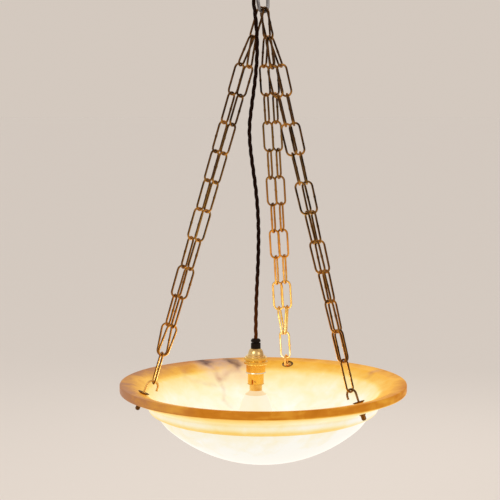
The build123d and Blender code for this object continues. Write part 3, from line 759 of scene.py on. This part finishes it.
def alabaster():
    """Stone lit from inside: amber where thick, cream to white where thin, and painted shade that makes it
    greyer round the lip's left.
    """
    shader = Shader("alabaster", Roughness=0.3, Specular_IOR_Level=0.012, Emission_Strength=lit_share)
    clouds = shader.noise(scale=8, detail=5, distortion=1.0)
    grain = shader.noise(scale=55, detail=6, distortion=0.5)
    cloudy = shader.spread(shader.values("glow"), 0.25, 0.6, 0.04, 0.09)
    glow = shader.math("MULTIPLY", shader.spread(clouds, 0.3, 0.7, -1.0, 1.0), cloudy)
    glow = shader.math("ADD", shader.values("glow"), glow)
    glow = shader.math("ADD", glow, shader.spread(grain, 0.3, 0.7, -0.035, 0.035))
    streaks = shader.noise(scale=16, detail=4, distortion=0.6, place=shader.stretched(1, 1, 5))
    thick = shader.spread(glow, 0.2, 0.5, 1.0, 0.0)
    streaked = shader.math("MULTIPLY", shader.spread(streaks, 0.35, 0.7, -0.045, 0.07), thick)
    glow = shader.math("ADD", glow, streaked)
    colour = shader.ramp(
        glow,
        [
            (0.06, srgb(184, 106, 22)),
            (0.2, srgb(205, 126, 34)),
            (0.36, srgb(246, 180, 64)),
            (0.56, srgb(253, 214, 120)),
            (0.78, srgb(254, 238, 188)),
            (0.98, srgb(255, 252, 242)),
        ],
    )
    # Painted shade: greyer where the stone is thick and little light comes through, round the lip's left.
    leftwards = shader.vector("DOT_PRODUCT", shader.place, (-1.0 / rim_radius, 0.05 / rim_radius, 0.0))
    dim = shader.spread(glow, 0.2, 0.42, 0.95, 0.0)
    painted_left_shade = shader.math("MULTIPLY", shader.spread(leftwards, 0.35, 0.95), dim)
    colour = shader.mix(painted_left_shade, colour, srgb(172, 122, 90))
    wavering = shader.wavering(scale=45, reach=0.016)
    broken = shader.spread(shader.noise(scale=60, detail=4), 0.3, 0.65, 0.45, 1.0)
    lump, vein, stain = srgb(84, 54, 46), srgb(198, 142, 118), srgb(206, 136, 66)
    marks = [
        (low_haze, 0.050, 0.85, srgb(245, 208, 170)),
        (haze, 0.036, 0.9, srgb(184, 146, 130)),
        (brown_stain, 0.018, 0.7, stain),
        (cell_edge, 0.008, 0.2, vein),
        (left_vein, 0.009, 0.4, vein),
        (right_vein, 0.012, 0.36, vein),
        (low_vein, 0.007, 0.28, vein),
        (faint_vein, 0.008, 0.2, vein),
        (left_lump, 0.020, 1.0, lump),
        (right_lump, 0.015, 0.95, lump),
        (lip_smear, 0.010, 0.6, lump),
        (side_smear, 0.012, 0.5, vein),
        (side_stain, 0.010, 0.5, stain),
    ]
    for line, reach, strength, tint in marks:
        points = [(x, y, rim_z + z) for x, y, z in line]
        share = shader.math("MULTIPLY", shader.near(wavering, points, reach), broken)
        colour = shader.mix(shader.math("MULTIPLY", share, strength), colour, tint)
    shader.light_up(colour)
    return shader.material


def antique_brass():
    """Brown aged brass, rubbed bright where links bear on each other, with painted lamplight: golden on the
    sides that face the bowl and paler towards it.
    """
    shader = Shader("antique_brass", Metallic=1.0)
    patches = shader.noise(scale=70, detail=0)
    tone = shader.math("ADD", shader.math("MULTIPLY", shader.values("tone"), 0.35), patches)
    dark = shader.ramp(tone, [(0.35, srgb(30, 19, 10)), (0.9, srgb(88, 58, 27))])
    worn = shader.math("MULTIPLY", shader.values("wear"), shader.spread(patches, 0.35, 0.65, 0.1, 0.8))
    colour = shader.mix(worn, dark, srgb(214, 150, 66))
    # Painted lamplight: gold on the sides that face the bowl.
    painted_light_share = shader.spread(shader.values("painted_facing_light"), 0.05, 0.65, 0.0, 0.9)
    colour = shader.mix(painted_light_share, colour, srgb(250, 192, 94))
    # Painted lamplight from the bowl, patchy: paler, more golden brass towards the rim.
    patchy_lamplight = shader.math("MULTIPLY", shader.values("painted_lamplight"), shader.spread(patches, 0.25, 0.6, 0.75, 1.0))
    bright = shader.ramp(
        patchy_lamplight,
        [
            (0.15, srgb(132, 82, 28)),
            (0.45, srgb(228, 158, 60)),
            (0.75, srgb(253, 216, 126)),
            (1.0, srgb(255, 246, 212)),
        ],
    )
    shader.set("Base Color", shader.mix(shader.spread(patchy_lamplight, 0.0, 0.3), colour, bright))
    shader.set("Roughness", shader.spread(patches, 0.3, 0.7, 0.36, 0.48))
    return shader.material


def plain_brass(name, colour, dull, painted_bead_highlight=None):
    """Bright turned brass with a little tarnish, and a painted highlight: a paler bead between two heights.
    """
    shader = Shader(name, Metallic=1.0)
    tarnish = shader.noise(scale=45, detail=2)
    turned = shader.noise(scale=30, detail=3, place=shader.stretched(1, 1, 60))
    shown = shader.mix(shader.spread(tarnish, 0.45, 0.75), colour, dull)
    if painted_bead_highlight:
        height = shader.axis(shader.place, "Z")
        above = shader.spread(height, painted_bead_highlight[0] - bead_edge, painted_bead_highlight[0] + bead_edge)
        below = shader.spread(height, painted_bead_highlight[1] - bead_edge, painted_bead_highlight[1] + bead_edge, 1.0, 0.0)
        # Painted highlight: a pale line on the bead, standing in for its reflection.
        shown = shader.mix(shader.math("MULTIPLY", above, below), shown, srgb(255, 246, 220))
    shader.set("Base Color", shown)
    shader.set("Roughness", shader.spread(turned, 0.3, 0.7, 0.16, 0.28))
    shader.bump(turned, 0.00003)
    return shader.material


def dished_brass():
    """The cup washers: brown brass on the rim, golden in the dish."""
    shader = Shader("dished_brass", Metallic=1.0, Roughness=0.28)
    dished = None
    for washer in solids("cup_washers"):
        middle, axes, size = measure(washer)
        ends = [middle - dish_line * axes[2], middle + dish_line * axes[2]]
        found = shader.near(shader.place, ends, size[0] / 2)
        dished = found if dished is None else shader.math("MAXIMUM", dished, found)
    patches = shader.noise(scale=160, detail=3)
    rim = shader.ramp(patches, [(0.35, srgb(74, 48, 24)), (0.7, srgb(128, 88, 44))])
    shader.set("Base Color", shader.mix(shader.spread(dished, 0.12, 0.4), rim, srgb(246, 190, 92)))
    shader.bump(patches, 0.00003)
    return shader.material


def steel(name, colour, dull):
    """Plain drawn steel."""
    shader = Shader(name, Metallic=1.0)
    stain = shader.noise(scale=120, detail=6)
    shader.set("Base Color", shader.mix(shader.spread(stain, 0.45, 0.7), colour, dull))
    shader.set("Roughness", shader.spread(stain, 0.3, 0.7, 0.28, 0.45))
    shader.bump(shader.noise(scale=700, detail=4), 0.0001)
    return shader.material


def hook_wire_steel():
    """Dark brown wire, with painted lamplight turning golden the hooks that the lamp shines on."""
    shader = Shader("dark_wire", Metallic=1.0)
    stain = shader.noise(scale=90, detail=2)
    dark = shader.ramp(stain, [(0.35, srgb(88, 60, 34)), (0.65, srgb(150, 110, 64))])
    # Painted lamplight: golden where the lamp shines on a hook.
    painted_light_share = shader.spread(shader.values("painted_lamplight"), 0.3, 1.0)
    shader.set("Base Color", shader.mix(painted_light_share, dark, srgb(252, 196, 112)))
    shader.set("Roughness", shader.spread(stain, 0.3, 0.7, 0.32, 0.45))
    return shader.material


def moulded(name, colour, mark, roughness, gloss=0.5):
    """Moulded, glazed or painted surface with a fine grain."""
    shader = Shader(name, Roughness=roughness, Specular_IOR_Level=gloss)
    grain = shader.noise(scale=500, detail=5)
    shader.set("Base Color", shader.mix(shader.spread(grain, 0.45, 0.8), colour, mark))
    shader.bump(grain, 0.00015)
    return shader.material


def braided():
    """Dark cotton braid, its threads crossing round each core, browner in the light of the bowl."""
    shader = Shader("braided_flex", Roughness=0.9, Specular_IOR_Level=0.05)
    wrap = shader.add("UVMap", uv_map="braid").outputs["UV"]
    around, along = shader.axis(wrap, "X"), shader.axis(wrap, "Y")
    waves = []
    for lean in ("ADD", "SUBTRACT"):
        turn = shader.math("MULTIPLY", shader.math(lean, around, along), 2 * pi / braid_thread)
        waves.append(shader.math("SINE", turn))
    weave = shader.math("MAXIMUM", waves[0], waves[1])
    fluff = shader.noise(scale=2500, detail=3)
    shade = shader.math("ADD", shader.spread(weave, -0.4, 1.0), fluff)
    dark = shader.ramp(shade, [(0.3, srgb(6, 2, 1)), (1.0, srgb(36, 17, 8))])
    warm = shader.ramp(shade, [(0.3, srgb(30, 10, 2)), (1.0, srgb(108, 54, 14))])
    flex_foot = flex_route[-1][2]
    lamplit = shader.spread(shader.axis(shader.place, "Z"), flex_foot, flex_foot + flex_lamplit, 1.0, 0.0)
    shader.set("Base Color", shader.mix(lamplit, dark, warm))
    shader.bump(weave, 0.00022)
    return shader.material


def lit(name, colour, lighter):
    """A pale surface with the lamp's light coming through it."""
    shader = Shader(name, Roughness=0.35, Specular_IOR_Level=0.02, Emission_Strength=lit_share)
    shown = shader.mix(shader.spread(shader.noise(scale=30, detail=3), 0.3, 0.7), colour, lighter)
    shader.light_up(shown)
    return shader.material


bright_brass = plain_brass("pale_brass", srgb(255, 216, 110), srgb(248, 188, 84))
bead_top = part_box("lampholder_body")[0][2] + skirt_length
painted_bead_highlight = (bead_top - bead_height, bead_top)
body_brass = plain_brass("body_brass", srgb(255, 206, 100), srgb(238, 172, 74), painted_bead_highlight)
nut_brass = plain_brass("nut_brass", srgb(126, 80, 30), srgb(52, 31, 13))
dress(braided(), flex)
dress(alabaster(), bowl)
dress(antique_brass(), *chain_runs)
dress(nut_brass, nodes["lower_washers"], nodes["hook_nuts"])
dress(dished_brass(), nodes["cup_washers"])
grey_steel = steel("hook_steel", srgb(150, 149, 152), srgb(104, 102, 102))
dress(grey_steel, nodes["ceiling_hook"], nodes["hook_lock_nut"], springs)
dress(hook_wire_steel(), bowl_hooks)
paint = moulded("plate_steel", srgb(186, 178, 166), srgb(166, 157, 144), 0.4, gloss=0.4)
dress(paint, nodes["ceiling_plate"])
dress(plain_brass("cap_brass", srgb(255, 228, 160), srgb(186, 132, 66)), nodes["lampholder_cap"])
dress(body_brass, nodes["lampholder_body"])
dress(bright_brass, nodes["shade_ring_upper"], nodes["shade_ring_lower"])
dress(bright_brass, nodes["contact_plungers"], nodes["terminal_screws"])
lamp_metal = plain_brass("lamp_cap_metal", srgb(252, 206, 118), srgb(222, 160, 78))
dress(lamp_metal, nodes["bulb_cap"], nodes["bulb_pins"], nodes["bulb_contacts"])
black = moulded("black_plastic", srgb(19, 9, 5), srgb(36, 20, 11), 0.5, gloss=0.1)
dress(black, nodes["cord_outlet_bush"], nodes["cord_grip"])
dress(moulded("white_ceramic", srgb(232, 228, 220), srgb(214, 208, 198), 0.2), nodes["lampholder_insulator"])
white = moulded("white_plastic", srgb(238, 230, 214), srgb(220, 210, 192), 0.45)
dress(white, nodes["bulb_led_board"])
dress(lit("lamp_collar", srgb(250, 214, 160), srgb(252, 226, 180)), nodes["bulb_neck"])
dress(lit("opal_glass", srgb(254, 242, 208), srgb(255, 247, 222)), nodes["bulb_glass"])
nodes["bulb_glass"].visible_shadow = False


# Light: a soft studio round the object, and the lamp in the bowl
floor_z = -1.25
floor_reach = 60.0
floor_colour = np.array((0.80, 0.725, 0.66))
sky_colour = np.array((1.0, 0.98, 0.96))
sky_strength = 0.82
background = (*floor_colour * sky_colour * sky_strength, 1.0)  # as the far floor shows under the sky


def add_area(name, place, size, power, colour):
    """A square soft light that faces the middle of the object."""
    light = bpy.data.lights.new(name, "AREA")
    light.size = size
    light.energy = power
    light.color = colour
    lamp = bpy.data.objects.new(name, light)
    bpy.context.scene.collection.objects.link(lamp)
    lamp.location = place
    middle = (cad_box[0] + cad_box[1]) / 2
    lamp.rotation_euler = (middle - lamp.location).to_track_quat("-Z", "Y").to_euler()


add_area("key", place=(-1.6, -2.0, 0.8), size=1.4, power=16, colour=(1.0, 0.97, 0.93))
add_area("fill", place=(1.9, -1.6, 0.2), size=1.4, power=7, colour=(1.0, 0.97, 0.94))
add_area("back", place=(0.4, 2.2, 0.7), size=1.2, power=8, colour=(1.0, 0.96, 0.9))

glass_low, glass_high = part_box("bulb_glass")
lamplight = bpy.data.lights.new("lamp_glow", "POINT")
lamplight.energy = 0.9
lamplight.color = (1.0, 0.92, 0.8)
lamplight.shadow_soft_size = 0.03
lamp = bpy.data.objects.new("lamp_glow", lamplight)
bpy.context.scene.collection.objects.link(lamp)
lamp.location = (glass_low + glass_high) / 2

world = bpy.data.worlds.new("studio")
bpy.context.scene.world = world
world.use_nodes = True
tree = world.node_tree
soft = tree.nodes["Background"]
soft.inputs["Color"].default_value = (*sky_colour, 1.0)
soft.inputs["Strength"].default_value = sky_strength
seen = tree.nodes.new("ShaderNodeBackground")
seen.inputs["Color"].default_value = background
rays = tree.nodes.new("ShaderNodeLightPath")
total = rays.outputs["Is Camera Ray"]
for kind in ("Is Glossy Ray", "Is Transmission Ray"):
    either = tree.nodes.new("ShaderNodeMath")
    either.operation = "MAXIMUM"
    tree.links.new(total, either.inputs[0])
    tree.links.new(rays.outputs[kind], either.inputs[1])
    total = either.outputs["Value"]
choice = tree.nodes.new("ShaderNodeMixShader")
tree.links.new(total, choice.inputs["Fac"])
tree.links.new(soft.outputs["Background"], choice.inputs[1])
tree.links.new(seen.outputs["Background"], choice.inputs[2])
tree.links.new(choice.outputs["Shader"], tree.nodes["World Output"].inputs["Surface"])

corners = [(x * floor_reach, y * floor_reach, floor_z) for x, y in ((-1, -1), (1, -1), (1, 1), (-1, 1))]
floor = add_mesh("floor", corners, [(0, 1, 2, 3)])
floor_paint = Shader("floor", Roughness=0.9)
floor_paint.set("Base Color", (*floor_colour, 1.0))
dress(floor_paint.material, floor)
